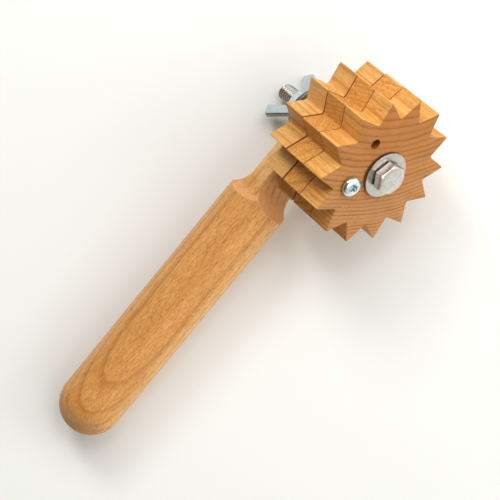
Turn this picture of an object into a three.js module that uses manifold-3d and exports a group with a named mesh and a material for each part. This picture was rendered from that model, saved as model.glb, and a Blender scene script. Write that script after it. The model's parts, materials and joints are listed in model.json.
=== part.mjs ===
// Clay texture wheel: three toothed wooden discs on a bolt through the tang of a round wooden handle.
// It is modelled in a tool frame, with +Z along the bolt towards its head, +X along the handle to the butt
// and z = 0 at the back face of the rear disc. A group then lays it down as it rests on a table.

import * as THREE from 'three';
import { mergeVertices } from 'three/addons/utils/BufferGeometryUtils.js';
import Module from 'manifold-3d';

const wasm = await Module();
wasm.setup();

// Driving dimensions, in millimetres and degrees.
const seatGap = 0.15;
const runningGap = 0.45;

const toothCount = 14;
const toothTipRadius = 35.2;
const toothRootRadius = 26;
const toothTipEase = 0.8;
const toothRootEase = 2.4;
const toothPhase = 18.6;
const gearThickness = 12.35;
const gearGap = 0.25;

const screwCircleRadius = 17.75;
const lockScrewAngle = -43.9;
const indexHoleAngle = -114.3;
const indexHoleRadius = 2.35;

const screwShankRadius = 2.1;
const screwShankClearance = 0.3;
const screwLength = 31.75;
const screwPointLength = 5;
const screwHeadRadius = 4.7;
const screwHeadHeight = 3.1;
const screwHeadRimHeight = 1.1;
const screwHeadProud = 0.7;
const recessDepth = 1.9;
const recessSpan = 5.2;
const recessWidth = 1.1;

const boltRadius = 3.97;
const boltStandOut = 18.1;
const boltTailChamfer = 0.9;
const boltHeadAcrossFlats = 12.7;
const boltHeadHeight = 5;
const boltHeadChamfer = 0.5;
const boltHeadChamferAngle = 30;
const boltHeadTurn = 41;

const washerRadius = 11.1;
const washerThickness = 1.6;

const handleRadius = 14.6;
const handleReach = 178.4;
const tangWidth = 21.1;
const tangThickness = 9;
const tangOffset = 0.4;
const shoulderReach = 47;
const faceScoopRadius = 12.7;
const sideScoopRadius = 6.4;

const nutPlay = 5.5;
const nutBossRadius = 6.9;
const nutBossTopRadius = 5.5;
const nutBossHeight = 8;
const nutHeight = 17.2;
const nutShoulderHeight = 2;
const wingReach = 15;
const wingThickness = 2.8;
const wingTurn = -18;
const wingTipLength = 4.8;
const wingTipLean = 3.4;
const wingTopStart = 2.4;
const wingBaseStart = 4;
const wingOverlap = 0.3;
const wingCornerEase = 1.8;

// How far a cutter or a joined end runs past the surface it meets.
const cutPast = 1;

// Roundness of the faceted solids.
const handleSides = 64;
const domeSteps = 12;
const boltSides = 32;
const washerSides = 48;
const screwSides = 24;
const arcSteps = 6;

// Places along the bolt, worked out from the sizes above.
const boltBoreRadius = boltRadius + runningGap;
const middleGearZ = gearThickness + gearGap;
const frontGearZ = middleGearZ + gearThickness + gearGap;
const wheelFrontZ = frontGearZ + gearThickness;
const headWasherZ = wheelFrontZ + seatGap;
const boltSeatZ = headWasherZ + washerThickness + seatGap;
const spacerWasherZ = -seatGap - washerThickness;
const tangFrontZ = spacerWasherZ - seatGap;
const tangRearZ = tangFrontZ - tangThickness;
const handleAxisZ = (tangFrontZ + tangRearZ) / 2 - tangOffset;
const nutWasherZ = tangRearZ - nutPlay - washerThickness;
const nutSeatZ = nutWasherZ - seatGap;
const boltTailZ = nutSeatZ - boltStandOut;
const screwSeatZ = wheelFrontZ + screwHeadProud;
const screwPointZ = screwSeatZ - screwLength;
const screwHoleRadius = screwShankRadius + screwShankClearance;

// Finishes seen in the photograph.
const paleWood = { color: 0xd79a5b, roughness: 0.62, metalness: 0 };
const discWood = { color: 0xcf8f55, roughness: 0.66, metalness: 0 };
const dullSteel = { color: 0xa9a8a4, roughness: 0.42, metalness: 1 };
const brightZinc = { color: 0xc3cdd2, roughness: 0.28, metalness: 1 };

const radians = THREE.MathUtils.degToRad;

function onCircle(radius, degrees) {
  return new THREE.Vector2(radius * Math.cos(radians(degrees)), radius * Math.sin(radians(degrees)));
}

// Turns a closed three.js geometry into a solid for joins and cuts.
function toSolid(geometry) {
  const bare = geometry.clone();
  bare.deleteAttribute('normal');
  bare.deleteAttribute('uv');
  const welded = mergeVertices(bare, 1e-4);
  return new wasm.Manifold(new wasm.Mesh({
    numProp: 3,
    vertProperties: new Float32Array(welded.attributes.position.array),
    triVerts: new Uint32Array(welded.index.array),
  }));
}

function toGeometry(solid) {
  const mesh = solid.getMesh();
  const geometry = new THREE.BufferGeometry();
  geometry.setAttribute('position', new THREE.BufferAttribute(new Float32Array(mesh.vertProperties), 3));
  geometry.setIndex(new THREE.BufferAttribute(new Uint32Array(mesh.triVerts), 1));
  geometry.computeVertexNormals();
  return geometry;
}

function part(name, geometry, finish) {
  const mesh = new THREE.Mesh(geometry, new THREE.MeshStandardMaterial(finish));
  mesh.name = name;
  return mesh;
}

// A round bar along Z, from z0 to z1, centred on (x, y).
function bar(radius, z0, z1, sides, x = 0, y = 0) {
  const geometry = new THREE.CylinderGeometry(radius, radius, z1 - z0, sides);
  geometry.rotateX(Math.PI / 2);
  geometry.translate(x, y, (z0 + z1) / 2);
  return geometry;
}

// A turned shape about Z from a profile of [radius, z] pairs, listed upwards from the axis to the axis.
function turned(profile, sides) {
  const points = profile.map(([radius, z]) => new THREE.Vector2(radius, z));
  const geometry = new THREE.LatheGeometry(points, sides);
  geometry.rotateX(Math.PI / 2);
  return geometry;
}

// A flat outline in XY with thickness along Z, from z0 upwards.
function slab(shape, z0, thickness) {
  const geometry = new THREE.ExtrudeGeometry(shape, {
    depth: thickness,
    bevelEnabled: false,
    curveSegments: arcSteps,
  });
  geometry.translate(0, 0, z0);
  return geometry;
}

// A closed outline whose corners are eased by a curve that starts and ends `ease` from each corner.
function easedOutline(corners) {
  const shape = new THREE.Shape();
  corners.forEach(({ at, ease }, i) => {
    const before = corners[(i + corners.length - 1) % corners.length].at;
    const after = corners[(i + 1) % corners.length].at;
    const start = at.clone().add(before.clone().sub(at).setLength(ease));
    const end = at.clone().add(after.clone().sub(at).setLength(ease));
    if (i === 0) shape.moveTo(start.x, start.y);
    else shape.lineTo(start.x, start.y);
    shape.quadraticCurveTo(at.x, at.y, end.x, end.y);
  });
  return shape;
}

// The toothed outline that all three discs share.
function toothedOutline() {
  const pitch = 360 / toothCount;
  const corners = [];
  for (let tooth = 0; tooth < toothCount; tooth += 1) {
    const angle = toothPhase + tooth * pitch;
    corners.push({ at: onCircle(toothTipRadius, angle), ease: toothTipEase });
    corners.push({ at: onCircle(toothRootRadius, angle + pitch / 2), ease: toothRootEase });
  }
  return easedOutline(corners);
}

function gear(z0) {
  let solid = toSolid(slab(toothedOutline(), z0, gearThickness));
  solid = solid.subtract(toSolid(bar(boltBoreRadius, z0 - cutPast, z0 + gearThickness + cutPast, boltSides)));
  const screw = onCircle(screwCircleRadius, lockScrewAngle);
  const screwHoleEnd = Math.max(z0 - cutPast, screwPointZ - screwShankClearance);
  const mouth = z0 + gearThickness + cutPast;
  const drill = bar(screwHoleRadius, screwHoleEnd, mouth, screwSides, screw.x, screw.y);
  return solid.subtract(toSolid(drill));
}

// The front and middle discs have a second hole, for the screw when the discs are turned to another step.
function indexedGear(z0) {
  const hole = onCircle(screwCircleRadius, indexHoleAngle);
  const mouth = z0 + gearThickness + cutPast;
  const drill = bar(indexHoleRadius, z0 - cutPast, mouth, screwSides, hole.x, hole.y);
  return gear(z0).subtract(toSolid(drill));
}

function washer(z0) {
  const shape = new THREE.Shape();
  shape.absarc(0, 0, washerRadius, 0, 2 * Math.PI);
  const hole = new THREE.Path();
  hole.absarc(0, 0, boltBoreRadius, 0, 2 * Math.PI);
  shape.holes.push(hole);
  return new THREE.ExtrudeGeometry(shape, {
    depth: washerThickness,
    bevelEnabled: false,
    curveSegments: washerSides / 2,
  }).translate(0, 0, z0);
}

// Hexagon head with a rounded-off top rim, on a plain round shank with a chamfered tail.
function axleBolt() {
  const cornerRadius = boltHeadAcrossFlats / 2 / Math.cos(Math.PI / 6);
  const headTopZ = boltSeatZ + boltHeadHeight;
  const hexagon = new THREE.CylinderGeometry(cornerRadius, cornerRadius, boltHeadHeight, 6);
  hexagon.rotateX(Math.PI / 2);
  hexagon.rotateZ(radians(boltHeadTurn) - Math.PI / 2);
  hexagon.translate(0, 0, boltSeatZ + boltHeadHeight / 2);
  const flatRadius = boltHeadAcrossFlats / 2 - boltHeadChamfer;
  const rimReach = cornerRadius + cutPast;
  const rimDrop = (rimReach - flatRadius) * Math.tan(radians(boltHeadChamferAngle));
  const rim = turned([
    [0, boltSeatZ - cutPast],
    [rimReach, boltSeatZ - cutPast],
    [rimReach, headTopZ - rimDrop],
    [flatRadius, headTopZ],
    [0, headTopZ],
  ], washerSides);
  const shank = turned([
    [0, boltTailZ],
    [boltRadius - boltTailChamfer, boltTailZ],
    [boltRadius, boltTailZ + boltTailChamfer],
    [boltRadius, boltSeatZ + cutPast],
    [0, boltSeatZ + cutPast],
  ], boltSides);
  return toSolid(hexagon).intersect(toSolid(rim)).add(toSolid(shank));
}

// Pan-head screw with a cross recess, standing slightly proud of the front disc.
function lockScrew() {
  const rim = screwSeatZ + screwHeadRimHeight;
  const crown = screwHeadHeight - screwHeadRimHeight;
  const dome = [];
  for (let step = 0; step < arcSteps; step += 1) {
    const angle = (step / arcSteps) * Math.PI / 2;
    dome.push([screwHeadRadius * Math.cos(angle), rim + crown * Math.sin(angle)]);
  }
  const body = toSolid(turned([
    [0, screwPointZ],
    [screwShankRadius, screwPointZ + screwPointLength],
    [screwShankRadius, screwSeatZ],
    [screwHeadRadius, screwSeatZ],
    ...dome,
    [0, screwSeatZ + screwHeadHeight],
  ], screwSides));
  const slotHeight = recessDepth + cutPast;
  const slotZ = screwSeatZ + screwHeadHeight - recessDepth + slotHeight / 2;
  const slotA = new THREE.BoxGeometry(recessSpan, recessWidth, slotHeight).translate(0, 0, slotZ);
  const slotB = new THREE.BoxGeometry(recessWidth, recessSpan, slotHeight).translate(0, 0, slotZ);
  const place = onCircle(screwCircleRadius, lockScrewAngle);
  return body.subtract(toSolid(slotA).add(toSolid(slotB))).translate([place.x, place.y, 0]);
}

// A cutter that leaves a flat face `face` from the handle's axis and curves out to the full bar.
function scoop(face, radius) {
  const depth = handleRadius + cutPast - face;
  const fall = Math.sqrt(radius * radius - (radius - Math.min(handleRadius - face, radius)) ** 2);
  const bottomX = shoulderReach - fall;
  const startX = -handleRadius * 2;
  const shape = new THREE.Shape();
  shape.moveTo(startX, face);
  shape.lineTo(bottomX, face);
  shape.absarc(bottomX, face + radius, radius, -Math.PI / 2, 0, false);
  shape.lineTo(bottomX + radius, face + radius + depth);
  shape.lineTo(startX, face + radius + depth);
  const width = handleRadius * 3;
  const geometry = new THREE.ExtrudeGeometry(shape, {
    depth: width,
    bevelEnabled: false,
    curveSegments: arcSteps * 2,
  });
  return geometry.translate(0, 0, -width / 2);
}

// Round bar with a domed butt, scooped down on four sides to a flat tang with a half-round end.
function handle() {
  const domeX = handleReach - handleRadius;
  const tangEndRadius = tangWidth / 2;
  const blankStart = -tangEndRadius - cutPast;
  const profile = [[0, blankStart], [handleRadius, blankStart]];
  for (let step = 0; step < domeSteps; step += 1) {
    const angle = (step / domeSteps) * Math.PI / 2;
    profile.push([handleRadius * Math.cos(angle), domeX + handleRadius * Math.sin(angle)]);
  }
  profile.push([0, handleReach]);
  const blank = turned(profile, handleSides).rotateY(Math.PI / 2);
  let solid = toSolid(blank.translate(0, 0, handleAxisZ));

  const front = scoop(tangFrontZ - handleAxisZ, faceScoopRadius).rotateX(Math.PI / 2);
  const rear = scoop(handleAxisZ - tangRearZ, faceScoopRadius).rotateX(-Math.PI / 2);
  const left = scoop(tangWidth / 2, sideScoopRadius);
  const right = scoop(tangWidth / 2, sideScoopRadius).rotateX(Math.PI);
  for (const cutter of [front, rear, left, right]) {
    solid = solid.subtract(toSolid(cutter.translate(0, 0, handleAxisZ)));
  }

  const endCut = new THREE.Shape();
  const far = handleRadius * 2;
  endCut.moveTo(0, -far);
  endCut.lineTo(0, -tangEndRadius);
  endCut.absarc(0, 0, tangEndRadius, -Math.PI / 2, Math.PI / 2, true);
  endCut.lineTo(0, far);
  endCut.lineTo(-far, far);
  endCut.lineTo(-far, -far);
  const endCutter = new THREE.ExtrudeGeometry(endCut, {
    depth: far * 2,
    bevelEnabled: false,
    curveSegments: arcSteps * 4,
  }).translate(0, 0, handleAxisZ - far);
  solid = solid.subtract(toSolid(endCutter));
  return solid.subtract(toSolid(bar(boltBoreRadius, tangRearZ - cutPast, tangFrontZ + cutPast, boltSides)));
}

// Tapered boss with two flared ears, base at the washer and ears reaching towards the bolt's tail.
function wingNut() {
  const boss = toSolid(turned([
    [0, 0],
    [nutBossRadius, 0],
    [nutBossRadius, nutShoulderHeight],
    [nutBossTopRadius, nutBossHeight],
    [0, nutBossHeight],
  ], boltSides));
  const rootRadius = boltBoreRadius + wingOverlap;
  const tipBase = new THREE.Vector2(wingReach, nutHeight - wingTipLean);
  const tipTop = new THREE.Vector2(wingReach - wingTipLength, nutHeight);
  const crotch = new THREE.Vector2(nutBossTopRadius, nutBossHeight + wingTopStart);
  const ear = easedOutline([
    { at: new THREE.Vector2(rootRadius, nutShoulderHeight), ease: wingOverlap },
    { at: new THREE.Vector2(nutBossRadius, wingBaseStart), ease: wingCornerEase / 2 },
    { at: tipBase, ease: wingCornerEase },
    { at: tipTop, ease: wingCornerEase },
    { at: crotch, ease: wingCornerEase },
    { at: new THREE.Vector2(rootRadius, nutBossHeight - wingOverlap), ease: wingOverlap },
  ]);
  const blade = new THREE.ExtrudeGeometry(ear, {
    depth: wingThickness,
    bevelEnabled: false,
    curveSegments: arcSteps,
  }).translate(0, 0, -wingThickness / 2).rotateX(Math.PI / 2);
  const right = toSolid(blade);
  const left = toSolid(blade.clone().rotateZ(Math.PI));
  const bore = toSolid(bar(boltBoreRadius, -cutPast, nutHeight, boltSides));
  const nut = boss.add(right).add(left).subtract(bore);
  return nut.rotate([180, 0, wingTurn]).translate([0, 0, nutSeatZ]);
}

// The tool in its own frame, before it is laid down.
const tool = new THREE.Group();
const handleMesh = part('handle', toGeometry(handle()), paleWood);
const rearGear = part('rear_gear', toGeometry(gear(0)), discWood);
const middleGear = part('middle_gear', toGeometry(indexedGear(middleGearZ)), discWood);
const frontGear = part('front_gear', toGeometry(indexedGear(frontGearZ)), discWood);
const boltMesh = part('axle_bolt', toGeometry(axleBolt()), dullSteel);
const nutMesh = part('wing_nut', toGeometry(wingNut()), brightZinc);
tool.add(
  handleMesh,
  rearGear,
  middleGear,
  frontGear,
  part('lock_screw', toGeometry(lockScrew()), brightZinc),
  boltMesh,
  part('head_washer', washer(headWasherZ), dullSteel),
  part('spacer_washer', washer(spacerWasherZ), dullSteel),
  part('nut_washer', washer(nutWasherZ), dullSteel),
  nutMesh,
);

// The corner of these meshes that lies lowest for a given up direction.
function lowestCorner(meshes, up) {
  const corner = new THREE.Vector3();
  const lowest = new THREE.Vector3();
  let least = Infinity;
  for (const { geometry } of meshes) {
    const positions = geometry.attributes.position;
    for (let i = 0; i < positions.count; i += 1) {
      corner.fromBufferAttribute(positions, i);
      const height = corner.dot(up);
      if (height < least) {
        least = height;
        lowest.copy(corner);
      }
    }
  }
  return lowest;
}

// The direction that points up when the tool lies on its butt, on a rear tooth and on the bolt's tail side.
function restingUp() {
  const settleSteps = 40;
  let up = new THREE.Vector3(0, -1, 1).normalize();
  for (let step = 0; step < settleSteps; step += 1) {
    const butt = lowestCorner([handleMesh], up);
    const tooth = lowestCorner([rearGear], up);
    const tail = lowestCorner([boltMesh, nutMesh], up);
    const next = tooth.clone().sub(butt).cross(tail.clone().sub(butt)).normalize();
    if (next.dot(up) < 0) next.negate();
    up = up.add(next).normalize();
  }
  return up;
}

const up = restingUp();
const along = new THREE.Vector3(1, 0, 0);
along.addScaledVector(up, -along.dot(up)).normalize();
const across = up.clone().cross(along);
const layDown = new THREE.Matrix4().makeBasis(along, across, up).transpose();
tool.quaternion.setFromRotationMatrix(layDown);

const group = new THREE.Group();
group.add(tool);
group.updateMatrixWorld(true);
const box = new THREE.Box3().setFromObject(group, true);
tool.position.set(-(box.min.x + box.max.x) / 2, -(box.min.y + box.max.y) / 2, -box.min.z);
group.updateMatrixWorld(true);

export default group;
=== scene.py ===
import json
import math

import bmesh
import bpy
import numpy as np
from mathutils import Matrix, Vector


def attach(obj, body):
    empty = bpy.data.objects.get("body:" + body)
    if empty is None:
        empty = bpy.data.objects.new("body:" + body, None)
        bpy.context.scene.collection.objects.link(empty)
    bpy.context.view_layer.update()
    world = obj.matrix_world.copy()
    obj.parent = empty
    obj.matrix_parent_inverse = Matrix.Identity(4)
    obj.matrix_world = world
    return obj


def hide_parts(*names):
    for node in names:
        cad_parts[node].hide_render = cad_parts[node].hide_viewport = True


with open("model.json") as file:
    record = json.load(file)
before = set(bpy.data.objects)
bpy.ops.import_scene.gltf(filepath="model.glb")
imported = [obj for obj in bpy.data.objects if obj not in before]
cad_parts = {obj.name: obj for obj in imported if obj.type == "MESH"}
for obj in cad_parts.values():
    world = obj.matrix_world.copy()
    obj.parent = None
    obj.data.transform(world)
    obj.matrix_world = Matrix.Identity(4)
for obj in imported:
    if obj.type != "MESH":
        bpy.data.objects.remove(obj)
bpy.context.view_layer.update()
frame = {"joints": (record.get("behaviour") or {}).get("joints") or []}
print("clay wheel: frame loaded")

# what several pieces share, in millimetres and degrees
stack = {
    "thick": 12.35,
    "gap": 0.25,
    "clear": 0.15,
    "bore": 4.42,
    "holeCircle": 17.75,
    "screwAngle": -43.9,
    "indexAngle": -114.3,
    "screwSeat": 38.25,
    "nutWasherLow": -18.0,
    "handleAxis": -6.8,
}
stackStep = stack["thick"] + stack["gap"]
stackTop = 2 * stackStep + stack["thick"]
stackMiddle = stackTop / 2
millimetre = 0.001

# The tool's own axes come from the joint of the axle: alongHandle runs to the butt, and alongBolt to the
# bolt's head. Shapes are in millimetres on them, from the back face of the rear disc on the bolt's axis.
axle = next(joint for joint in frame["joints"] if joint["name"] == "wheel_spin")
alongBolt = np.array(axle["axis"]) / np.linalg.norm(axle["axis"])
alongHandle = np.array([alongBolt[2], 0.0, -alongBolt[0]]) / math.hypot(alongBolt[0], alongBolt[2])
acrossTool = np.cross(alongBolt, alongHandle)
toolTurn = np.column_stack([alongHandle, acrossTool, alongBolt])
toolStart = np.array(axle["pos_m"]) - alongBolt * stackMiddle * millimetre


def placed(points):
    # millimetres on the tool's axes to metres in the frame: turn, scale by a thousandth, shift
    return np.asarray(points, float) @ toolTurn.T * millimetre + toolStart


def onCircle(radius, degrees):
    # radius times the cosine and the sine of the angle
    return np.array([radius * math.cos(math.radians(degrees)), radius * math.sin(math.radians(degrees))])


screwSpot = onCircle(stack["holeCircle"], stack["screwAngle"])
indexSpot = onCircle(stack["holeCircle"], stack["indexAngle"])

# meshes
meshCare = {"mergeWithin": 2e-6, "sliverBelow": 1e-7, "crease": 32}  # metres, metres, degrees


def tidyMesh(mesh, creaseAngle):
    # doubled points at seams and poles become one, and edges sharper than creaseAngle stay crisp
    work = bmesh.new()
    work.from_mesh(mesh)
    bmesh.ops.remove_doubles(work, verts=work.verts, dist=meshCare["mergeWithin"])
    bmesh.ops.dissolve_degenerate(work, edges=work.edges, dist=meshCare["sliverBelow"])
    bmesh.ops.recalc_face_normals(work, faces=work.faces)
    work.to_mesh(mesh)
    work.free()
    mesh.shade_smooth()
    mesh.set_sharp_from_angle(angle=math.radians(creaseAngle))
    mesh.update()


def gridMesh(name, grid, shutRows=False, creaseAngle=meshCare["crease"]):
    # a grid of points, rows by columns by 3 in millimetres, whose columns run round and close on themselves
    rows, columns = grid.shape[:2]
    index = np.arange(rows * columns).reshape(rows, columns)
    lower = index if shutRows else index[:-1]
    upper = np.roll(index, -1, 0) if shutRows else index[1:]
    quads = np.stack([lower, np.roll(lower, -1, 1), np.roll(upper, -1, 1), upper], -1).reshape(-1, 4)
    mesh = bpy.data.meshes.new(name)
    mesh.from_pydata(placed(grid.reshape(-1, 3)), [], quads.tolist())
    tidyMesh(mesh, creaseAngle)
    return mesh


def turnedGrid(profile, steps, centre=(0.0, 0.0)):
    # each [radius, height] of the profile swept in equal steps round a line through centre along the bolt
    angle = np.arange(steps) * 2 * np.pi / steps
    radius, height = np.asarray(profile, float).T
    x = centre[0] + radius[:, None] * np.cos(angle)
    y = centre[1] + radius[:, None] * np.sin(angle)
    return np.stack([x, y, np.broadcast_to(height[:, None], x.shape)], -1)


def roundedCorners(corners, eases, steps):
    # every corner of a closed outline becomes a quadratic curve that starts and ends its ease away from it
    corners = np.asarray(corners, float)
    before = np.roll(corners, 1, 0) - corners
    after = np.roll(corners, -1, 0) - corners
    eases = np.asarray(eases, float)[:, None]
    start = corners + before / np.linalg.norm(before, axis=1, keepdims=True) * eases
    end = corners + after / np.linalg.norm(after, axis=1, keepdims=True) * eases
    t = np.linspace(0, 1, steps)[None, :, None]
    curve = (1 - t) ** 2 * start[:, None] + 2 * t * (1 - t) * corners[:, None] + t ** 2 * end[:, None]
    return curve.reshape(-1, 2)


def outlineNormals(outline):
    # outward normals of a closed outline that runs anticlockwise
    ahead = np.roll(outline, -1, 0) - np.roll(outline, 1, 0)
    normal = np.stack([ahead[:, 1], -ahead[:, 0]], 1)
    return normal / np.linalg.norm(normal, axis=1, keepdims=True)


def plateGrid(outline, low, high, edge, steps, bore=0.0):
    # a plate: at both rims the outline is drawn in by edge * (1 - sin t) while its height rises by
    # edge * (1 - cos t), and each face is carried in to a round bore or to the middle
    normal = outlineNormals(outline)
    turn = np.linspace(0, np.pi / 2, steps)
    inward = edge * (1 - np.sin(turn))
    rise = edge * (1 - np.cos(turn))
    inset = np.concatenate([inward, inward[::-1]])
    height = np.concatenate([low + rise, (high - rise)[::-1]])
    side = outline[None] - normal[None] * inset[:, None, None]
    side = np.concatenate([side, np.broadcast_to(height[:, None, None], side.shape[:2] + (1,))], 2)
    middle = outline.mean(0) if bore == 0 else np.zeros(2)
    spoke = outline - middle
    inner = middle + spoke / np.linalg.norm(spoke, axis=1, keepdims=True) * bore
    floorRing = np.concatenate([inner, np.full((len(inner), 1), low)], 1)[None]
    roofRing = np.concatenate([inner, np.full((len(inner), 1), high)], 1)[None]
    return np.concatenate([floorRing, side, roofRing])


def finalMesh(name, item):
    # the item's mesh with its modifiers applied
    bpy.context.view_layer.update()
    shaped = bpy.data.meshes.new_from_object(item.evaluated_get(bpy.context.evaluated_depsgraph_get()))
    bpy.data.objects.remove(item)
    shaped.name = name
    shaped.shade_smooth()
    return shaped


def inScene(name, data):
    item = bpy.data.objects.new(name, data)
    bpy.context.scene.collection.objects.link(item)
    return item


def cutHoles(name, mesh, cutterMeshes):
    # the cutters' volumes taken out of the mesh
    body = inScene("work", mesh)
    cutters = []
    for number, cutterMesh in enumerate(cutterMeshes):
        cutter = inScene(f"cutter{number}", cutterMesh)
        cut = body.modifiers.new(f"cut{number}", "BOOLEAN")
        cut.operation = "DIFFERENCE"
        cut.solver = "MANIFOLD"
        cut.object = cutter
        cutters.append(cutter)
    shaped = finalMesh(name, body)
    for cutter in cutters:
        bpy.data.objects.remove(cutter)
    shaped.set_sharp_from_angle(angle=math.radians(meshCare["crease"]))
    return shaped


def addPiece(mesh, body, node, material):
    # a visible piece, which moves with its body and stands for the frame's node
    piece = inScene(node + "_piece", mesh)
    mesh.materials.clear()
    mesh.materials.append(material)
    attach(piece, body)
    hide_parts(node)
    print(f"clay wheel: {piece.name}, {len(mesh.polygons)} faces")
    return piece


# shader maths
class Field:
    # one shader socket, with the sums and products that the finishes use
    def __init__(self, finish, socket):
        self.finish = finish
        self.socket = socket

    def beside(self, output):
        # another output of the same node
        return Field(self.finish, self.socket.node.outputs[output])

    def maths(self, operation, *others):
        return self.finish.add("ShaderNodeMath", {"operation": operation}, dict(enumerate([self, *others])))

    def __add__(self, other):
        return self.maths("ADD", other)

    def __sub__(self, other):
        return self.maths("SUBTRACT", other)

    def __rsub__(self, other):
        return self.finish.add("ShaderNodeMath", {"operation": "SUBTRACT"}, {0: other, 1: self})

    def __mul__(self, other):
        return self.maths("MULTIPLY", other)

    def __truediv__(self, other):
        return self.maths("DIVIDE", other)

    def __pow__(self, other):
        return self.maths("POWER", other)

    __radd__ = __add__
    __rmul__ = __mul__

    def above(self, low, high):
        # 0 below low, 1 above high, and a soft step between
        knobs = {"Value": self, "From Min": low, "From Max": high}
        return self.finish.add("ShaderNodeMapRange", {"interpolation_type": "SMOOTHSTEP"}, knobs)


class Finish:
    # a node material that is built up by adding nodes
    def __init__(self, name):
        self.material = bpy.data.materials.new(name)
        self.material.use_nodes = True
        self.tree = self.material.node_tree
        self.tree.nodes.clear()

    def add(self, kind, settings=None, inputs=None, output=0):
        # a node: its settings first, then the value or the link of each socket
        node = self.tree.nodes.new(kind)
        for key, value in (settings or {}).items():
            setattr(node, key, value)
        for key, value in (inputs or {}).items():
            if isinstance(value, Field):
                self.tree.links.new(value.socket, node.inputs[key])
            else:
                node.inputs[key].default_value = value
        return Field(self, node.outputs[output])

    def vector(self, x, y, z):
        return self.add("ShaderNodeCombineXYZ", None, {0: x, 1: y, 2: z})

    def parts(self, vector):
        split = self.add("ShaderNodeSeparateXYZ", None, {0: vector})
        return [split.beside(axis) for axis in range(3)]

    def noise(self, place, scale=1.0, detail=2.0, roughness=0.5):
        knobs = {"Vector": place, "Scale": scale, "Detail": detail, "Roughness": roughness}
        return self.add("ShaderNodeTexNoise", None, knobs)

    def mix(self, amount, first, second):
        # first * (1 - amount) + second * amount; a Mix node's colours are its sockets 6 and 7 and output 2
        a, b = [value if isinstance(value, Field) else (*value, 1) for value in (first, second)]
        return self.add("ShaderNodeMix", {"data_type": "RGBA"}, {0: amount, 6: a, 7: b}, 2)

    def toolPlace(self, origin=(0, 0, 0), turn=np.identity(3)):
        # Object coordinates as millimetres from `origin`, on axes that `turn` gives from the tool's axes
        seat = Vector(placed(origin))
        spin = Matrix((toolTurn @ turn).tolist()).to_euler()
        place = self.add("ShaderNodeTexCoord", output="Object")
        knobs = {"Vector": place, "Location": seat, "Rotation": spin, "Scale": (millimetre,) * 3}
        return self.add("ShaderNodeMapping", {"vector_type": "TEXTURE"}, knobs)

    def fromLine(self, spot):
        # the distance from a line through the spot along the bolt, and the height over the spot
        across, down, level = self.parts(self.toolPlace(spot))
        return (across * across + down * down) ** 0.5, level

    def towards(self, direction):
        # the cosine of the angle between the surface's normal and a direction given on the tool's axes
        normal = self.add("ShaderNodeTexCoord", output="Normal")
        line = Vector(toolTurn @ np.asarray(direction, float))
        return self.add("ShaderNodeVectorMath", {"operation": "DOT_PRODUCT"}, {0: normal, 1: line}, "Value")

    def facing(self, direction):
        # the same for either way along the direction, from 0 to 1
        return self.towards(direction).maths("ABSOLUTE")

    def shade(self, colour, roughness, height=None, bumpSize=0.1, **fixed):
        # the surface: bumpSize is the relief in millimetres for a height of 1
        knobs = {"Base Color": colour, "Roughness": roughness}
        knobs.update({key.replace("_", " "): value for key, value in fixed.items()})
        if height is not None:
            bump = {"Height": height, "Strength": 1.0, "Distance": bumpSize * millimetre}
            knobs["Normal"] = self.add("ShaderNodeBump", None, bump)
        shader = self.add("ShaderNodeBsdfPrincipled", None, knobs)
        out = self.tree.nodes.new("ShaderNodeOutputMaterial")
        self.tree.links.new(shader.socket, out.inputs["Surface"])
        return self.material


noiseMiddle = 0.5  # the value that noise lies round
noiseReach = (0.35, 0.65)  # the values that most of it lies between

# a size is that of one blob of noise in millimetres, the last along the grain, and a reach is where a
# soft step starts and ends
woodLook = {
    "paintedLight": (0.86, 0.530, 0.215),
    "late": (0.46, 0.165, 0.026),
    "steepStart": 0.66,
    "steepShare": 0.4,
    "peak": 0.90,
    "unevenStep": 0.9,
    "unevenRun": 400,
    "unevenDepth": 0.5,
    "driftSize": (14, 14, 60),
    "wanderSize": (3.5, 3.5, 30),
    "swingSize": (7, 7, 40),
    "swingReach": (0.3, 0.7),
    "swingTone": 0.6,
    "baseTone": 0.15,
    "fibreSize": (0.55, 0.55, 13),
    "fibreTone": 3.0,
    "hairSize": (0.32, 0.32, 4.5),
    "hairToneReach": (0.46, 0.66),
    "hairTone": 0.5,
    "hairReach": (0.50, 0.70),
    "hairDepth": 0.22,
    "speckSize": (0.38, 0.38, 1.5),
    "speckTone": 1.5,
    "dashSize": (16.0, 0.50, 4.2),
    "dashWidth": (0.14, 0.36),
    "dashShare": 0.30,
    "dashSoft": 0.25,
    "dashColour": (0.26, 0.080, 0.016),
    "sideRings": 1.0,
    # leftEdge and rightEdge bound the painted sheen on the handle's two edges, and tangReach the painted
    # light on the tang
    "leftEdge": (9.0, 14.6),
    "leftPaintedLight": 0.4,
    "rightEdge": (8.5, 14.0),
    "rightPaintedLight": 0.7,
    "paintedLightDepth": 0.0,
    "paintedLightOverRings": 0.7,
    "tangReach": None,
    "tangPaintedLight": 0.8,
    "fadeReach": (2.0, 8.0),
    "rightFade": 0.0,
    "endReach": (0.45, 0.92),
    "endLight": (0.555, 0.272, 0.108),
    "endLate": (0.32, 0.116, 0.033),
    "endRings": 1.1,
    "endSwing": 0.12,
    "endSpeck": 0.8,
    "thinBandSize": (0.33, 4, 1.2),
    "thinBandMiddle": 0.45,
    "fineLines": 0.0,
    "poreSize": (0.30, 0.30, 4.0),
    "poreReach": (0.45, 0.75),
    "poreDepth": 0.4,
    "rayLineSize": (5, 0.32, 3),
    "rayLineDepth": 0.6,
    "heart": (0.455, 0.168, 0.040),
    "heartDepth": 0.0,
    "heartReach": (-24.0, 16.0),
    # painted shade on the wall of the index hole round holeSpot
    "holeSpot": None,
    "holeReach": (2.36, 2.46),
    "holeShadeDepth": 0.8,
    "holeShadeColour": (0.26, 0.080, 0.016),
    "roughness": 0.42,
    "fibreRoughness": 0.14,
    "endRoughness": 0.2,
    "relief": 0.05,
    "fibreHeight": 0.6,
    "hairHeight": 0.3,
    "poreHeight": 0.4,
    "dashSink": 0.4,
    "lateSink": 0.3,
    "specular": 0.1,
}


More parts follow.
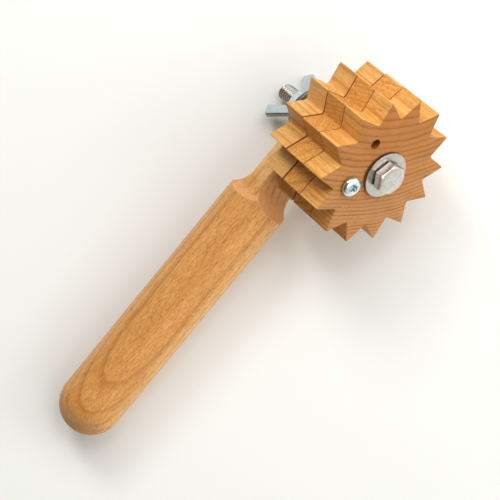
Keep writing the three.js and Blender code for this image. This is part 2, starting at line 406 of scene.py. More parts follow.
class Grain:
    # a wood's own axes: x and y in millimetres from its pith and z along its fibres, and on its rings the
    # distance from the pith and the way round, which is the angle times the middle ring's radius
    def __init__(self, wood, look):
        self.wood = wood
        self.x, self.y, self.z = wood.parts(wood.toolPlace(look["pith"], look["turn"]))
        self.distance = (self.x * self.x + self.y * self.y) ** 0.5
        self.wayRound = self.y.maths("ARCTAN2", self.x) * look["ringMiddle"]

    def drawnOut(self, sizes):
        # a place for noise: each coordinate over the size of one blob along it
        return self.wood.vector(self.x / sizes[0], self.y / sizes[1], self.z / sizes[2])

    def onRings(self, sizes):
        # the same outwards, round the ring and along the fibres
        return self.wood.vector(self.distance / sizes[0], self.wayRound / sizes[1], self.z / sizes[2])


def growthRings(grain, look):
    # Rings are shells round the pith. The distance from it, bent by slow noise and, past the start of the
    # rise, by the square of the way along, counts rings that may get closer outwards. Each ring darkens
    # slowly, then steeply, to its late line, and some are darker than others. The result is how late the
    # wood is, and the distance outwards from the middle ring.
    wood = grain.wood
    drift = wood.noise(grain.drawnOut(look["driftSize"])) - noiseMiddle
    wander = wood.noise(grain.drawnOut(look["wanderSize"])) - noiseMiddle
    bent = grain.distance + drift * look["drift"] + wander * look["wander"]
    if "rise" in look:
        riseStart, riseRate = look["rise"]
        past = (grain.z - riseStart).maths("MAXIMUM", 0.0)
        bent = bent - past * past * riseRate
    away = bent - look["ringMiddle"]
    count = away * look["ringsPerMm"] + away * away * look["ringGain"] + look["ringShift"]
    phase = count.maths("FRACT")
    slow = phase.above(look["lateStart"], look["peak"])
    steep = phase.above(look["steepStart"], look["peak"])
    ending = 1 - phase.above(look["peak"], 1.0)
    late = (slow * (1 - look["steepShare"]) + steep * look["steepShare"]) * ending
    ringByRing = wood.vector(count * look["unevenStep"], 0.3, grain.z / look["unevenRun"])
    uneven = wood.noise(ringByRing, detail=1.0).above(*noiseReach) * look["unevenDepth"]
    faded = (0 - grain.y).above(*look["fadeReach"]) * look["rightFade"]
    return late * (1 - look["unevenDepth"] + uneven) * look["lateDepth"] * (1 - faded), away


def fineGrain(grain, look):
    # Swing, fibres, hairs, pores and specks are noise drawn out along the grain. Dashes are the rays' dark
    # spindles: the middles of a share of the cells on the rings.
    wood = grain.wood
    cells = {"Vector": grain.onRings(look["dashSize"]), "Scale": 1.0, "Randomness": 1.0}
    spindle = wood.add("ShaderNodeTexVoronoi", None, cells, "Distance")
    chance = wood.parts(spindle.beside("Color"))[0]
    chosen = chance.above(look["dashShare"], look["dashShare"] + look["dashSoft"])
    return {
        "swing": wood.noise(grain.drawnOut(look["swingSize"]), detail=3.0).above(*look["swingReach"]),
        "fibre": wood.noise(grain.drawnOut(look["fibreSize"]), detail=4.0, roughness=0.7),
        "hair": wood.noise(grain.drawnOut(look["hairSize"]), detail=2.0, roughness=0.6),
        "pore": wood.noise(grain.drawnOut(look["poreSize"]), detail=3.0, roughness=0.75),
        "speck": wood.noise(grain.drawnOut(look["speckSize"]), detail=1.0),
        "dash": (1 - spindle.above(*look["dashWidth"])) * chosen,
    }


def sideGrain(grain, look, late, fine):
    # a tone between mid and light from the fine grain, then painted light: a painted sheen at the handle's
    # two edges as the camera sees them and on the tang, which faces the lamps; late wood, hairs and rays
    # over it
    wood = grain.wood
    fibre = fine["fibre"] - noiseMiddle
    speck = fine["speck"] - noiseMiddle
    tone = fine["swing"] * look["swingTone"] + look["baseTone"] + fibre * look["fibreTone"]
    tone = tone - fine["hair"].above(*look["hairToneReach"]) * look["hairTone"] + speck * look["speckTone"]
    # painted light: a lighter sheen along the handle's two edges as the camera sees them
    left = grain.y.above(*look["leftEdge"]) * look["leftPaintedLight"]
    right = (0 - grain.y).above(*look["rightEdge"]) * look["rightPaintedLight"]
    paintedLight = (left + right) * look["paintedLightDepth"]
    # painted light on the tang, which faces the lamps more than the bar does
    if look["tangReach"]:
        paintedLight = paintedLight + (1 - grain.z.above(*look["tangReach"])) * look["tangPaintedLight"]
    rings = late * look["sideRings"] * (1 - paintedLight * look["paintedLightOverRings"])
    colour = wood.mix(tone, look["mid"], look["light"])
    colour = wood.mix(paintedLight, colour, look["paintedLight"])
    colour = wood.mix(rings, colour, look["late"])
    colour = wood.mix(fine["hair"].above(*look["hairReach"]) * look["hairDepth"], colour, look["late"])
    return wood.mix(fine["dash"] * look["dashDepth"], colour, look["dashColour"])


def endGrain(grain, look, late, away, fine):
    # a colour that is darker towards the heart, shaded by late wood, thin lines along the rings, slow
    # swings, pores, lines across the rings and specks
    wood = grain.wood
    thinBand = wood.noise(grain.onRings(look["thinBandSize"])) - look["thinBandMiddle"]
    rayLine = wood.noise(grain.onRings(look["rayLineSize"])) - noiseMiddle
    swing = fine["swing"] - noiseMiddle
    speck = fine["speck"] - noiseMiddle
    shade = late * look["endRings"] + thinBand * look["fineLines"] + swing * look["endSwing"]
    shade = shade + fine["pore"].above(*look["poreReach"]) * look["poreDepth"]
    shade = shade + rayLine * look["rayLineDepth"] + speck * look["endSpeck"]
    heart = (1 - away.above(*look["heartReach"])) * look["heartDepth"]
    colour = wood.mix(heart, look["endLight"], look["heart"])
    return wood.mix(shade, colour, look["endLate"])


def woodFinish(name, look):
    # end grain takes over from side grain where the surface crosses the fibres, painted shade darkens the
    # wall of the index hole, and fibres, hairs and pores stand up, while rays and late wood lie lower
    wood = Finish(name)
    grain = Grain(wood, look)
    late, away = growthRings(grain, look)
    fine = fineGrain(grain, look)
    crossed = wood.facing(look["turn"][:, 2]).above(*look["endReach"])
    side = sideGrain(grain, look, late, fine)
    colour = wood.mix(crossed, side, endGrain(grain, look, late, away, fine))
    if look["holeSpot"]:
        # painted shade inside the index hole
        holeShade = 1 - wood.fromLine(look["holeSpot"])[0].above(*look["holeReach"])
        colour = wood.mix(holeShade * look["holeShadeDepth"], colour, look["holeShadeColour"])
    roughness = look["roughness"] + fine["fibre"] * look["fibreRoughness"] + crossed * look["endRoughness"]
    height = fine["fibre"] * look["fibreHeight"] + fine["hair"] * look["hairHeight"]
    height = height + fine["pore"] * crossed * look["poreHeight"]
    height = height - fine["dash"] * look["dashSink"] - late * look["lateSink"]
    return wood.shade(colour, roughness, height, look["relief"], Specular_IOR_Level=look["specular"])


# the direction across the handle that faces the camera
handleAway = np.array([0.0, -0.770, 0.638])
handleTurn = np.column_stack([handleAway, np.cross([1.0, 0.0, 0.0], handleAway), [1.0, 0.0, 0.0]])
handlePith = 60  # how far the pith lies from the handle's axis
handleWood = {
    **woodLook,
    "pith": tuple(np.array([0, 0, stack["handleAxis"]]) - handleAway * handlePith),
    "turn": handleTurn,
    "ringMiddle": 72.0,
    "ringsPerMm": 0.285,
    "ringGain": 0.0,
    "ringShift": 0.93,
    "rise": (120.0, 0.003),
    "drift": 1.6,
    "wander": 0.5,
    "lateStart": 0.42,
    "lateDepth": 1.0,
    "specular": 0.5,
    "endReach": (0.25, 0.62),
    # painted light on the tang, fading out over tangReach
    "tangReach": (28.0, 44.0),
    "rightFade": 0.3,
    # painted light on the handle's edges and tang
    "paintedLightDepth": 0.75,
    "dashDepth": 0.75,
    "dashSize": (3.0, 0.44, 2.8),
    "dashWidth": (0.14, 0.38),
    "dashShare": 0.42,
    "dashColour": (0.30, 0.085, 0.014),
    "hairDepth": 0.6,
    "hairSize": (0.40, 0.40, 5.0),
    "hairTone": 0.8,
    "speckTone": 3.0,
    "endSpeck": 2.0,
    "endRings": 0.12,
    "fineLines": 2.2,
    "light": (0.735, 0.354, 0.100),
    "mid": (0.60, 0.262, 0.062),
    "late": (0.41, 0.128, 0.018),
    "endLight": (0.68, 0.345, 0.125),
    "endLate": (0.42, 0.190, 0.064),
}
frontWood = {
    **woodLook,
    "light": (0.85, 0.455, 0.138),
    "mid": (0.67, 0.303, 0.073),
    "pith": (-90.0, -60.0, 0.0),
    "turn": np.identity(3),
    "ringMiddle": 108.0,
    "ringsPerMm": 0.40,
    "ringGain": 0.003,
    "ringShift": 0.2,
    "drift": 2.2,
    "wander": 0.5,
    "lateStart": 0.30,
    "lateDepth": 0.85,
    "peak": 0.82,
    "heartDepth": 0.75,
    "heartReach": (-24.0, 30.0),
    "sideRings": 0.8,
    "dashDepth": 0.32,
    "holeSpot": (*indexSpot, 0.0),
}
# the middle disc's fibres lean 26 degrees from the bolt's axis
middleTurn = np.column_stack([[0.999, 0.018, -0.037], [0.0, 0.903, 0.429], [0.041, -0.429, 0.902]])
middleWood = {
    **frontWood,
    "light": (0.80, 0.395, 0.112),
    "mid": (0.64, 0.285, 0.066),
    "endLight": (0.64, 0.285, 0.070),
    "endLate": (0.38, 0.135, 0.028),
    "heartDepth": 0.0,
    "pith": (60.0, 70.0, 0.0),
    "turn": middleTurn,
    "ringMiddle": 92.0,
    "ringsPerMm": 0.5,
    "hairDepth": 1.0,
    "hairSize": (0.44, 0.44, 14.0),
    "hairTone": 2.6,
    "speckTone": 0.4,
    "dashDepth": 0.15,
}
rearWood = {
    **frontWood,
    "light": (0.81, 0.468, 0.165),
    "mid": (0.66, 0.342, 0.104),
    "pith": (40.0, -95.0, 0.0),
    "ringMiddle": 103.0,
    "ringShift": 0.6,
    "holeSpot": None,
}

metalLook = {
    "cloudScale": 0.45,
    "cloudReach": (0.35, 0.7),
    "cloudRoughness": 0.10,
    "gritScale": 4.0,
    "gritReach": (0.5, 0.75),
    "gritDepth": 0.5,
    "gritRoughness": 0.10,
    "gritHeight": 0.3,
    "dentScale": 1.3,
    "stripeSize": (0.25, 0.25, 4),
    # painted shade on faces that stand along the bolt
    "sideShadeReach": (0.55, 0.95),
    "rootSoft": 0.45,
    # painted shade in the thread roots
    "rootShadeDepth": 0.85,
    "threadHeights": (-10.0, -8.0),
    "footSoft": 1.0,
    # painted shade round the head's foot
    "footShadeDepth": 0.7,
    "footHeights": (30.0, 38.0),
    # painted reflections: how far up the bolt they start, their base and stripes, and the brown reflected
    # wood near the head's top
    "reflectionHeights": (20.0, 24.0),
    "reflectionBase": 0.4,
    "stripeDepth": 0.55,
    "woodReflectionHeights": (41.6, 43.4),
    "woodReflectionColour": (0.34, 0.18, 0.10),
    "reflectionPatches": [],
}
boltMetal = {
    **metalLook,
    "colour": (0.74, 0.72, 0.67),
    "stain": (0.50, 0.49, 0.44),
    # painted shade on the hexagon's flats
    "side": (0.36, 0.33, 0.29),
    "root": (0.27, 0.26, 0.24),
    "roughness": 0.18,
    "blotch": 0.6,
    "relief": 0.06,
    "sideShadeShare": 0.12,
    "rootRadius": 3.9,
    # painted reflections on the hexagon: a dark flat, a lilac flat, a light flat, and a grey matte patch on
    # the chamfer in place of its highlight
    "reflectionPatches": [
        {"aim": (-0.982, -0.191, 0.0), "reach": (0.80, 0.92),
         "colour": (0.05, 0.06, 0.055), "matte": 0.3, "woodReflection": 0.0},
        {"aim": (-0.326, -0.946, 0.0), "reach": (0.86, 0.95),
         "colour": (0.40, 0.34, 0.36), "matte": 0.3, "woodReflection": 0.8},
        {"aim": (0.656, -0.755, 0.0), "reach": (0.80, 0.92),
         "colour": (0.76, 0.74, 0.62), "matte": 0.8, "woodReflection": 0.9},
        {"aim": (-0.377, -0.328, 0.866), "reach": (0.965, 0.99),
         "colour": (0.50, 0.50, 0.47), "matte": 1.0, "woodReflection": 0.0},
    ],
}
washerMetal = {
    **metalLook,
    "colour": (0.635, 0.605, 0.55),
    "stain": (0.50, 0.49, 0.44),
    # painted shade on the washers' rims
    "side": (0.20, 0.17, 0.14),
    "root": (0.27, 0.26, 0.24),
    "roughness": 0.18,
    "blotch": 0.6,
    "relief": 0.05,
    "sideShadeShare": 1.0,
    # painted shade round the head's foot reaches footRadius
    "footRadius": 7.4,
}
nutMetal = {
    **metalLook,
    "colour": (0.65, 0.745, 0.775),
    "stain": (0.48, 0.56, 0.59),
    "roughness": 0.2,
    "blotch": 0.5,
    "relief": 0.03,
    "reflectionPatches": [
        # painted shade and painted reflection of the shaded floor on the wing faces turned towards it
        {"aim": (0.732, -0.238, 0.64), "reach": (0.6, 0.85),
         "colour": (0.10, 0.11, 0.12), "matte": 0.0, "woodReflection": 0.0},
    ],
}
screwMetal = {
    **metalLook,
    "colour": (0.84, 0.93, 0.95),
    "stain": (0.56, 0.66, 0.70),
    "roughness": 0.13,
    "blotch": 0.4,
    "relief": 0.03,
    # painted shade in the cross recess
    "recess": (0.22, 0.30, 0.32),
    "recessTop": 2.3,
    "recessSoft": 0.5,
    "recessReach": (2.4, 2.7),
    "recessDepth": 0.75,
}


def paintedShadeZones(metal, look, place, colour):
    # Each zone that the look gives gets painted shade: sides that stand along the bolt, the hexagon's flats
    # and the washers' rims; thread roots, closer to the bolt's axis than rootRadius; a ring on the washer
    # round the head's foot, to footRadius; and the screw's recess, below recessTop.
    x, y, z = metal.parts(place)
    fromAxis = (x * x + y * y) ** 0.5
    if "sideShadeShare" in look:
        # painted shade on faces that stand along the bolt: the hexagon's flats and the washers' rims
        side = (1 - metal.facing((0, 0, 1))).above(*look["sideShadeReach"])
        colour = metal.mix(side * look["sideShadeShare"], colour, look["side"])
    if "rootRadius" in look:
        # painted shade in the thread roots
        root = 1 - fromAxis.above(look["rootRadius"] - look["rootSoft"], look["rootRadius"])
        below = 1 - z.above(*look["threadHeights"])
        colour = metal.mix(root * below * look["rootShadeDepth"], colour, look["root"])
    if "footRadius" in look:
        # painted shade on the washer round the head's foot
        foot = 1 - fromAxis.above(look["footRadius"] - look["footSoft"], look["footRadius"])
        foot = foot * z.above(*look["footHeights"])
        colour = metal.mix(foot * look["footShadeDepth"], colour, look["root"])
    if "recess" in look:
        # painted shade in the screw's cross recess
        fromMiddle, level = metal.fromLine((*screwSpot, stack["screwSeat"]))
        within = 1 - fromMiddle.above(*look["recessReach"])
        low = 1 - level.above(look["recessTop"] - look["recessSoft"], look["recessTop"])
        colour = metal.mix(within * low * look["recessDepth"], colour, look["recess"])
    return colour


def paintedReflections(metal, look, place, colour):
    # Each patch paints a reflection on the faces that look along its aim, in stripes along the bolt and
    # browner near the top of the head, where wood is reflected, and takes some of the metal's shine. The
    # result is the colour and how matte it is.
    x, y, z = metal.parts(place)
    wide, deep, tall = look["stripeSize"]
    stripes = metal.noise(metal.vector(x / wide, y / deep, z / tall), detail=1.0).above(*noiseReach)
    outer = z.maths("ABSOLUTE").above(*look["reflectionHeights"])
    high = z.above(*look["woodReflectionHeights"])
    matte = 0.0
    for patch in look["reflectionPatches"]:
        share = metal.towards(patch["aim"]).above(*patch["reach"]) * outer
        tint = metal.mix(high * patch["woodReflection"], patch["colour"], look["woodReflectionColour"])
        colour = metal.mix(share * (look["reflectionBase"] + stripes * look["stripeDepth"]), colour, tint)
        matte = matte + share * patch["matte"]
    return colour, matte


def metalFinish(name, look):
    # zinc plating: a base colour with soft darker blotches and fine grit, which both dull its shine a
    # little, over a shallow unevenness
    metal = Finish(name)
    place = metal.toolPlace()
    cloud = metal.noise(place, scale=look["cloudScale"], detail=4.0, roughness=0.6)
    grit = metal.noise(place, scale=look["gritScale"], detail=3.0, roughness=0.7)
    dent = metal.noise(place, scale=look["dentScale"], detail=2.0)
    colour = metal.mix(cloud.above(*look["cloudReach"]) * look["blotch"], look["colour"], look["stain"])
    colour = metal.mix(grit.above(*look["gritReach"]) * look["gritDepth"], colour, look["stain"])
    # painted shade in the zones that the look names
    colour = paintedShadeZones(metal, look, place, colour)
    matte = 0.0
    # painted reflections on the faces that the patches aim at
    if look["reflectionPatches"]:
        colour, matte = paintedReflections(metal, look, place, colour)
    roughness = look["roughness"] + cloud * look["cloudRoughness"] + grit * look["gritRoughness"]
    height = dent + grit * look["gritHeight"]
    return metal.shade(colour, roughness, height, look["relief"], Metallic=1 - matte)


# finishes
handleFinish = woodFinish("handle wood", handleWood)
frontFinish = woodFinish("front disc wood", frontWood)
middleFinish = woodFinish("middle disc wood", middleWood)
rearFinish = woodFinish("rear disc wood", rearWood)
boltZinc = metalFinish("dull zinc bolt", boltMetal)
washerZinc = metalFinish("dull zinc washer", washerMetal)
nutZinc = metalFinish("bright zinc nut", nutMetal)
screwZinc = metalFinish("bright zinc screw", screwMetal)
print("clay wheel: finishes made")

# toothed discs
disc = {
    "teeth": 14,
    "tip": 35.2,
    "root": 26.0,
    "tipEase": 0.8,
    "rootEase": 1.2,
    "easeSteps": 9,
    "phase": 18.6,
    "rearTurn": -0.5,
    "sawn": 0.22,
    "sanded": 0.1,
    "edge": 0.24,
    "edgeSteps": 4,
    "indexRadius": 2.35,
    "pilotRadius": 2.4,
    "pilotEnd": 6.2,
    "holeEase": 0.1,
    "holeSteps": 40,
    "overcut": 0.6,
}


def toothedOutline(turn):
    # tips and roots take turns round the circle, half a tooth apart, with flat flanks between their curves
    pitch = 360 / disc["teeth"]
    corners, eases = [], []
    for tooth in range(disc["teeth"]):
        corners += [onCircle(disc["tip"], disc["phase"] + turn + tooth * pitch)]
        corners += [onCircle(disc["root"], disc["phase"] + turn + (tooth + 0.5) * pitch)]
        eases += [disc["tipEase"], disc["rootEase"]]
    return roundedCorners(corners, eases, disc["easeSteps"])


def drill(name, radius, low, mouth, spot):
    # a round cutter from low to past the mouth, where it flares by the hole's ease
    ease = disc["holeEase"]
    high = mouth + disc["overcut"]
    profile = [[0, low], [radius, low], [radius, mouth - ease]]
    profile += [[radius + ease, mouth], [radius + ease, high], [0, high]]
    return gridMesh(name, turnedGrid(profile, disc["holeSteps"], spot))


def makeDisc(name, low, high, turn, material, screwEnd, indexed):
    # a toothed plate with the bolt's bore, the lock screw's pilot hole and, where indexed, an index hole
    grid = plateGrid(toothedOutline(turn), low, high, disc["edge"], disc["edgeSteps"], stack["bore"])
    mesh = gridMesh(name, grid, shutRows=True)
    cutters = [drill("pilot", disc["pilotRadius"], screwEnd, high, screwSpot)]
    if indexed:
        cutters += [drill("index", disc["indexRadius"], low - disc["overcut"], high, indexSpot)]
    return addPiece(cutHoles(name, mesh, cutters), "wheel", name, material)


rearTop = stack["thick"] - disc["sawn"]
middleLow = stackStep + disc["sawn"]
middleTop = stackStep + stack["thick"] - disc["sanded"]
frontLow = 2 * stackStep
makeDisc("rear_gear", 0.0, rearTop, disc["rearTurn"], rearFinish, disc["pilotEnd"], False)
makeDisc("middle_gear", middleLow, middleTop, 0.0, middleFinish, stackStep - disc["overcut"], True)
makeDisc("front_gear", frontLow, stackTop, 0.0, frontFinish, frontLow - disc["overcut"], True)

# handle
handle = {
    "radius": 14.58,
    "butt": 178.37,
    "axis": stack["handleAxis"],
    "front": -1.9,
    "rear": -10.9,
    "tangHalf": 10.55,
    "shoulder": 47.0,
    "faceScoop": 12.7,
    "sideScoop": 6.4,
    "soften": 0.22,
    "outside": 60.0,
    "columns": 256,
    "crease": 40,
    "boreSteps": 48,
    "boreSpan": (-14, 1),
}


def scoopHeight(along, face, radius):
    # flat at `face` from the handle's axis, then a quarter circle that meets the bar's surface at the
    # shoulder, and past it a height outside the bar
    reach = handle["radius"] - face
    fall = math.sqrt(radius ** 2 - (radius - min(reach, radius)) ** 2)
    start = handle["shoulder"] - fall
    past = np.clip(along - start, 0, radius)
    height = face + radius - np.sqrt(radius ** 2 - past ** 2)
    return np.where(along > start + radius * 0.999, handle["outside"], height)


def softLeast(values, soften):
    # the least of several distances, eased where two of them meet
    values = np.stack(np.broadcast_arrays(*values))
    least = values.min(0)
    return least - soften * np.log(np.exp(-(values - least) / soften).sum(0))


def makeHandle(material):
    # stations along the handle, each a closed ring round its axis: the distance from the axis is the least
    # of the round bar and of the four scooped faces, divided by the cosine of the angle to each face
    half = handle["tangHalf"]
    domeStart = handle["butt"] - handle["radius"]
    along = np.concatenate([
        -half * np.cos(np.linspace(0.03, np.pi / 2, 26)),  # the round end of the tang
        np.arange(1.5, 33.5, 2.0),  # its flat part
        np.arange(33.8, 48.6, 0.13),  # the scoops
        np.arange(50.0, domeStart, 2.6),  # the bar
        domeStart + handle["radius"] * np.sin(np.linspace(0, np.pi / 2, 44)),  # the domed butt
    ])[:, None]
    angle = (np.arange(handle["columns"]) * 2 * np.pi / handle["columns"])[None, :]
    bar = np.sqrt(np.clip(handle["radius"] ** 2 - np.clip(along - domeStart, 0, None) ** 2, 0, None))
    tang = np.sqrt(np.clip(half ** 2 - np.clip(-along, 0, None) ** 2, 0, None))
    side = np.where(along < 0, tang, scoopHeight(along, half, handle["sideScoop"]))
    front = scoopHeight(along, handle["front"] - handle["axis"], handle["faceScoop"])
    rear = scoopHeight(along, handle["axis"] - handle["rear"], handle["faceScoop"])
    tiny = 1e-6
    across = np.maximum(np.abs(np.cos(angle)), tiny)
    upward = np.maximum(np.sin(angle), tiny)
    downward = np.maximum(-np.sin(angle), tiny)
    radius = softLeast([bar + 0 * angle, side / across, front / upward, rear / downward], handle["soften"])
    radius = np.clip(radius, 0, None)
    axis = handle["axis"]
    grid = np.stack([along + 0 * angle, radius * np.cos(angle), axis + radius * np.sin(angle)], -1)
    grid = np.concatenate([np.broadcast_to([along[0, 0], 0, axis], grid[:1].shape), grid])
    mesh = gridMesh("handle", grid, creaseAngle=handle["crease"])
    low, high = handle["boreSpan"]
    profile = [[0, low], [stack["bore"], low], [stack["bore"], high], [0, high]]
    bore = gridMesh("bore", turnedGrid(profile, handle["boreSteps"]))
    return addPiece(cutHoles("handle", mesh, [bore]), "grip", "handle", material)


makeHandle(handleFinish)

# fasteners
washer = {
    "outer": 10.7,
    "thick": 1.6,
    "roll": 0.12,
    "burr": 0.08,
    "rollSteps": 7,
    "headSlack": 0.4,
}
bolt = {
    "radius": 3.97,
    "pitch": 1.411,
    "depth": 0.78,
    "ridgeSlope": 1.3,
    "ridgeCut": 0.12,
    "threadTop": -8.0,
    "threadFade": 1.2,
    "threadRunOut": 1.5,
    "plainGap": 0.5,
    "shankGap": 0.25,
    "rowsPerPitch": 14,
    "seat": stackTop + washer["thick"] + 2 * stack["clear"],
    "tail": -36.25,
    "tailEase": 0.9,
    "flats": 12.7,
    "head": 4.75,
    "turn": 41.0,
    "chamfer": 0.12,
    "collar": 5.7,
    "collarHeight": 0.45,
    "underEase": 0.2,
    "underReach": 0.25,
    "rimEase": 0.07,
    "topInset": 0.12,
    "topRise": 0.03,
    "crease": 28,
}
roundSteps = 96


def makeBolt(material):
    # rings from the tail to the head: a ridge that climbs one pitch a turn and fades out at its end, a plain
    # shank, and a hexagon whose distance from the axis is half the flats over the cosine of the angle to the
    # nearest flat, cut by a cone at its top corners
    b = bolt
    angle = (np.arange(roundSteps) * 2 * np.pi / roundSteps)[None, :]
    threadEnd = b["threadTop"] + b["threadRunOut"]
    threadRows = np.arange(b["tail"], threadEnd, b["pitch"] / b["rowsPerPitch"])[:, None]
    turns = threadRows / b["pitch"] - angle / (2 * np.pi)
    ridge = np.clip(np.abs(2 * (turns % 1) - 1) * b["ridgeSlope"] - b["ridgeCut"], 0, 1)
    fade = np.clip((b["threadTop"] - threadRows) / b["threadFade"], 0, 1)
    thread = b["radius"] - b["depth"] * (1 - ridge) * fade
    thread = np.minimum(thread, b["radius"] - b["tailEase"] + (threadRows - b["tail"]))
    sector = np.pi / 3
    fromFlat = (angle - math.radians(b["turn"])) % sector - sector / 2
    hexagon = b["flats"] / 2 / np.cos(fromFlat)
    headRows = np.concatenate([
        b["collarHeight"] + np.array([0.0, 0.1, b["underReach"]]),  # the eased lower edge
        np.linspace(1.0, b["head"] - 1.4, 5),  # the flats
        np.linspace(b["head"] - 1.3, b["head"], 22),  # the chamfer
    ])[:, None]
    under = b["underEase"] * np.clip(1 - (headRows - b["collarHeight"]) / b["underReach"], 0, 1) ** 2
    cone = b["flats"] / 2 - b["chamfer"] + (b["head"] - headRows) * math.sqrt(3)
    head = softLeast([hexagon + 0 * headRows - under, cone + 0 * angle], b["rimEase"])
    topRing = head[-1:] - b["topInset"]
    top = b["seat"] + b["head"] + b["topRise"]
    axisPoint = np.zeros((1, roundSteps))
    rings = [
        (axisPoint, [b["tail"]]),
        (thread, threadRows[:, 0]),
        (np.full((2, roundSteps), b["radius"]), [threadEnd + b["plainGap"], b["seat"] - b["shankGap"]]),
        (np.full((2, roundSteps), b["collar"]), [b["seat"], b["seat"] + b["collarHeight"]]),
        (head, b["seat"] + headRows[:, 0]),
        (topRing, [top]),
        (topRing * 0.5, [top]),
        (axisPoint, [top]),
    ]
    radius = np.concatenate([row for row, level in rings])
    height = np.concatenate([np.asarray(level, float) for row, level in rings])[:, None] + 0 * angle
    grid = np.stack([radius * np.cos(angle), radius * np.sin(angle), height], -1)
    mesh = gridMesh("axle_bolt", grid, creaseAngle=b["crease"])
    return addPiece(mesh, "grip", "axle_bolt", material)


makeBolt(boltZinc)


def makeWasher(name, low, body, material, flip=False, slack=0.0):
    # a stamped ring: a flat strip with rolled corners on one face and nearly sharp ones on the other, off
    # the bolt's middle by the slack in its bore
    turn = np.linspace(0, np.pi / 2, washer["rollSteps"])
    inner, outer, thick = stack["bore"], washer["outer"], washer["thick"]
    roll, burr = washer["roll"], washer["burr"]
    profile = [[inner, burr], [inner + burr, 0], [outer - burr, 0], [outer, burr]]
    profile += [[outer - roll * (1 - math.cos(t)), thick - roll * (1 - math.sin(t))] for t in turn]
    profile += [[inner + roll * (1 - math.sin(t)), thick - roll * (1 - math.cos(t))] for t in turn]
    profile = np.array(profile)
    if flip:
        profile[:, 1] = thick - profile[:, 1]
    profile[:, 1] += low
    mesh = gridMesh(name, turnedGrid(profile, roundSteps, (0.0, slack)), shutRows=True)
    return addPiece(mesh, body, name, material)


makeWasher("head_washer", stackTop + stack["clear"], "grip", washerZinc, slack=washer["headSlack"])
makeWasher("spacer_washer", -stack["clear"] - washer["thick"], "grip", washerZinc)
makeWasher("nut_washer", stack["nutWasherLow"], "nut_seat", washerZinc, flip=True)

nut = {
    "bore": 4.1,
    "baseRadius": 6.9,
    "topRadius": 5.5,
    "boss": 8.0,
    "shoulder": 2.0,
    "rimEase": 0.3,
    "mouthDepth": 0.5,
    "topMouth": 0.45,
    "height": 17.2,
    "reach": 15.0,
    "thick": 2.8,
    "edge": 0.35,
    "turn": -18.0,
    "tipLength": 4.8,
    "tipLean": 3.4,
    "wingRoot": 4.7,
    "wingLow": 1.6,
    "wingFoot": 4.0,
    "wingNeck": 2.4,
    "wingSink": 0.4,
    "cornerSteps": 9,
    "edgeSteps": 4,
    "voxel": 0.18,
    "smoothing": 3,
}


def fused(name, meshes, voxel, smoothing):
    # several closed shapes melted into one casting, with soft fillets where they meet
    work = bmesh.new()
    for mesh in meshes:
        work.from_mesh(mesh)
    joined = bpy.data.meshes.new(name)
    work.to_mesh(joined)
    work.free()
    lump = inScene("lump", joined)
    melt = lump.modifiers.new("melt", "REMESH")
    melt.mode = "VOXEL"
    melt.voxel_size = voxel * millimetre
    melt.use_smooth_shade = True
    ease = lump.modifiers.new("ease", "SMOOTH")
    ease.factor = 0.5
    ease.iterations = smoothing
    return finalMesh(name, lump)


def makeWingNut(material):
    # a tapered boss with a bore, and two plates whose outline is drawn in a plane through the bolt's axis:
    # each corner's place out from the axis, its height and its ease
    n = nut
    rim, mouth = n["rimEase"], n["mouthDepth"]
    profile = [[n["bore"] + mouth, 0], [n["baseRadius"] - rim, 0], [n["baseRadius"], rim]]
    profile += [[n["baseRadius"], n["shoulder"]], [n["topRadius"], n["boss"] - rim]]
    profile += [[n["topRadius"] - rim, n["boss"]], [n["bore"] + n["topMouth"], n["boss"]]]
    profile += [[n["bore"], n["boss"] - mouth], [n["bore"], mouth]]
    boss = turnedGrid(profile, roundSteps)
    corners = np.array([
        [n["wingRoot"], n["wingLow"], 0.4],
        [n["baseRadius"], n["wingFoot"], 1.2],
        [n["reach"], n["height"] - n["tipLean"], 1.5],
        [n["reach"] - n["tipLength"], n["height"], 1.5],
        [n["topRadius"], n["boss"] + n["wingNeck"], 2.0],
        [n["wingRoot"], n["boss"] - n["wingSink"], 0.3],
    ])
    outline = roundedCorners(corners[:, :2], corners[:, 2], n["cornerSteps"])
    plate = plateGrid(outline, -n["thick"] / 2, n["thick"] / 2, n["edge"], n["edgeSteps"])
    wing = plate[..., [0, 2, 1]]
    turn = math.radians(n["turn"])
    spin = np.array([[math.cos(turn), -math.sin(turn), 0], [math.sin(turn), math.cos(turn), 0], [0, 0, 1]])
    seat = stack["nutWasherLow"] - stack["clear"]
    shapes = []
    for number, shape in enumerate([boss, wing, wing * [-1, -1, 1]]):
        shape = shape * [1, 1, -1] @ spin.T + [0, 0, seat]
        shapes.append(gridMesh(f"nutShape{number}", shape, shutRows=number == 0))
    mesh = fused("wing_nut", shapes, n["voxel"], n["smoothing"])
    return addPiece(mesh, "nut", "wing_nut", material)


makeWingNut(nutZinc)

screw = {
    "shank": 2.1,
    "core": 1.55,
    "pitch": 1.95,
    "ridgeSlope": 3.2,
    "rowsPerPitch": 14,
    "length": 31.75,
    "point": 5.0,
    "taper": 0.8,
    "shankGap": 0.4,
    "head": 4.6,
    "rim": 0.8,
    "rimShare": 0.6,
    "underEase": 0.15,
    "height": 2.9,
    "roundness": 0.9,
    "recess": 1.7,
    "recessHalf": 2.3,
    "recessWall": 0.55,
    "recessTurn": 62.0,
    "slotHalf": 0.5,
    "slotWall": 0.25,
    "bowl": 1.5,
    "bowlWall": 0.8,
    "steps": 128,
    "crease": 35,
}


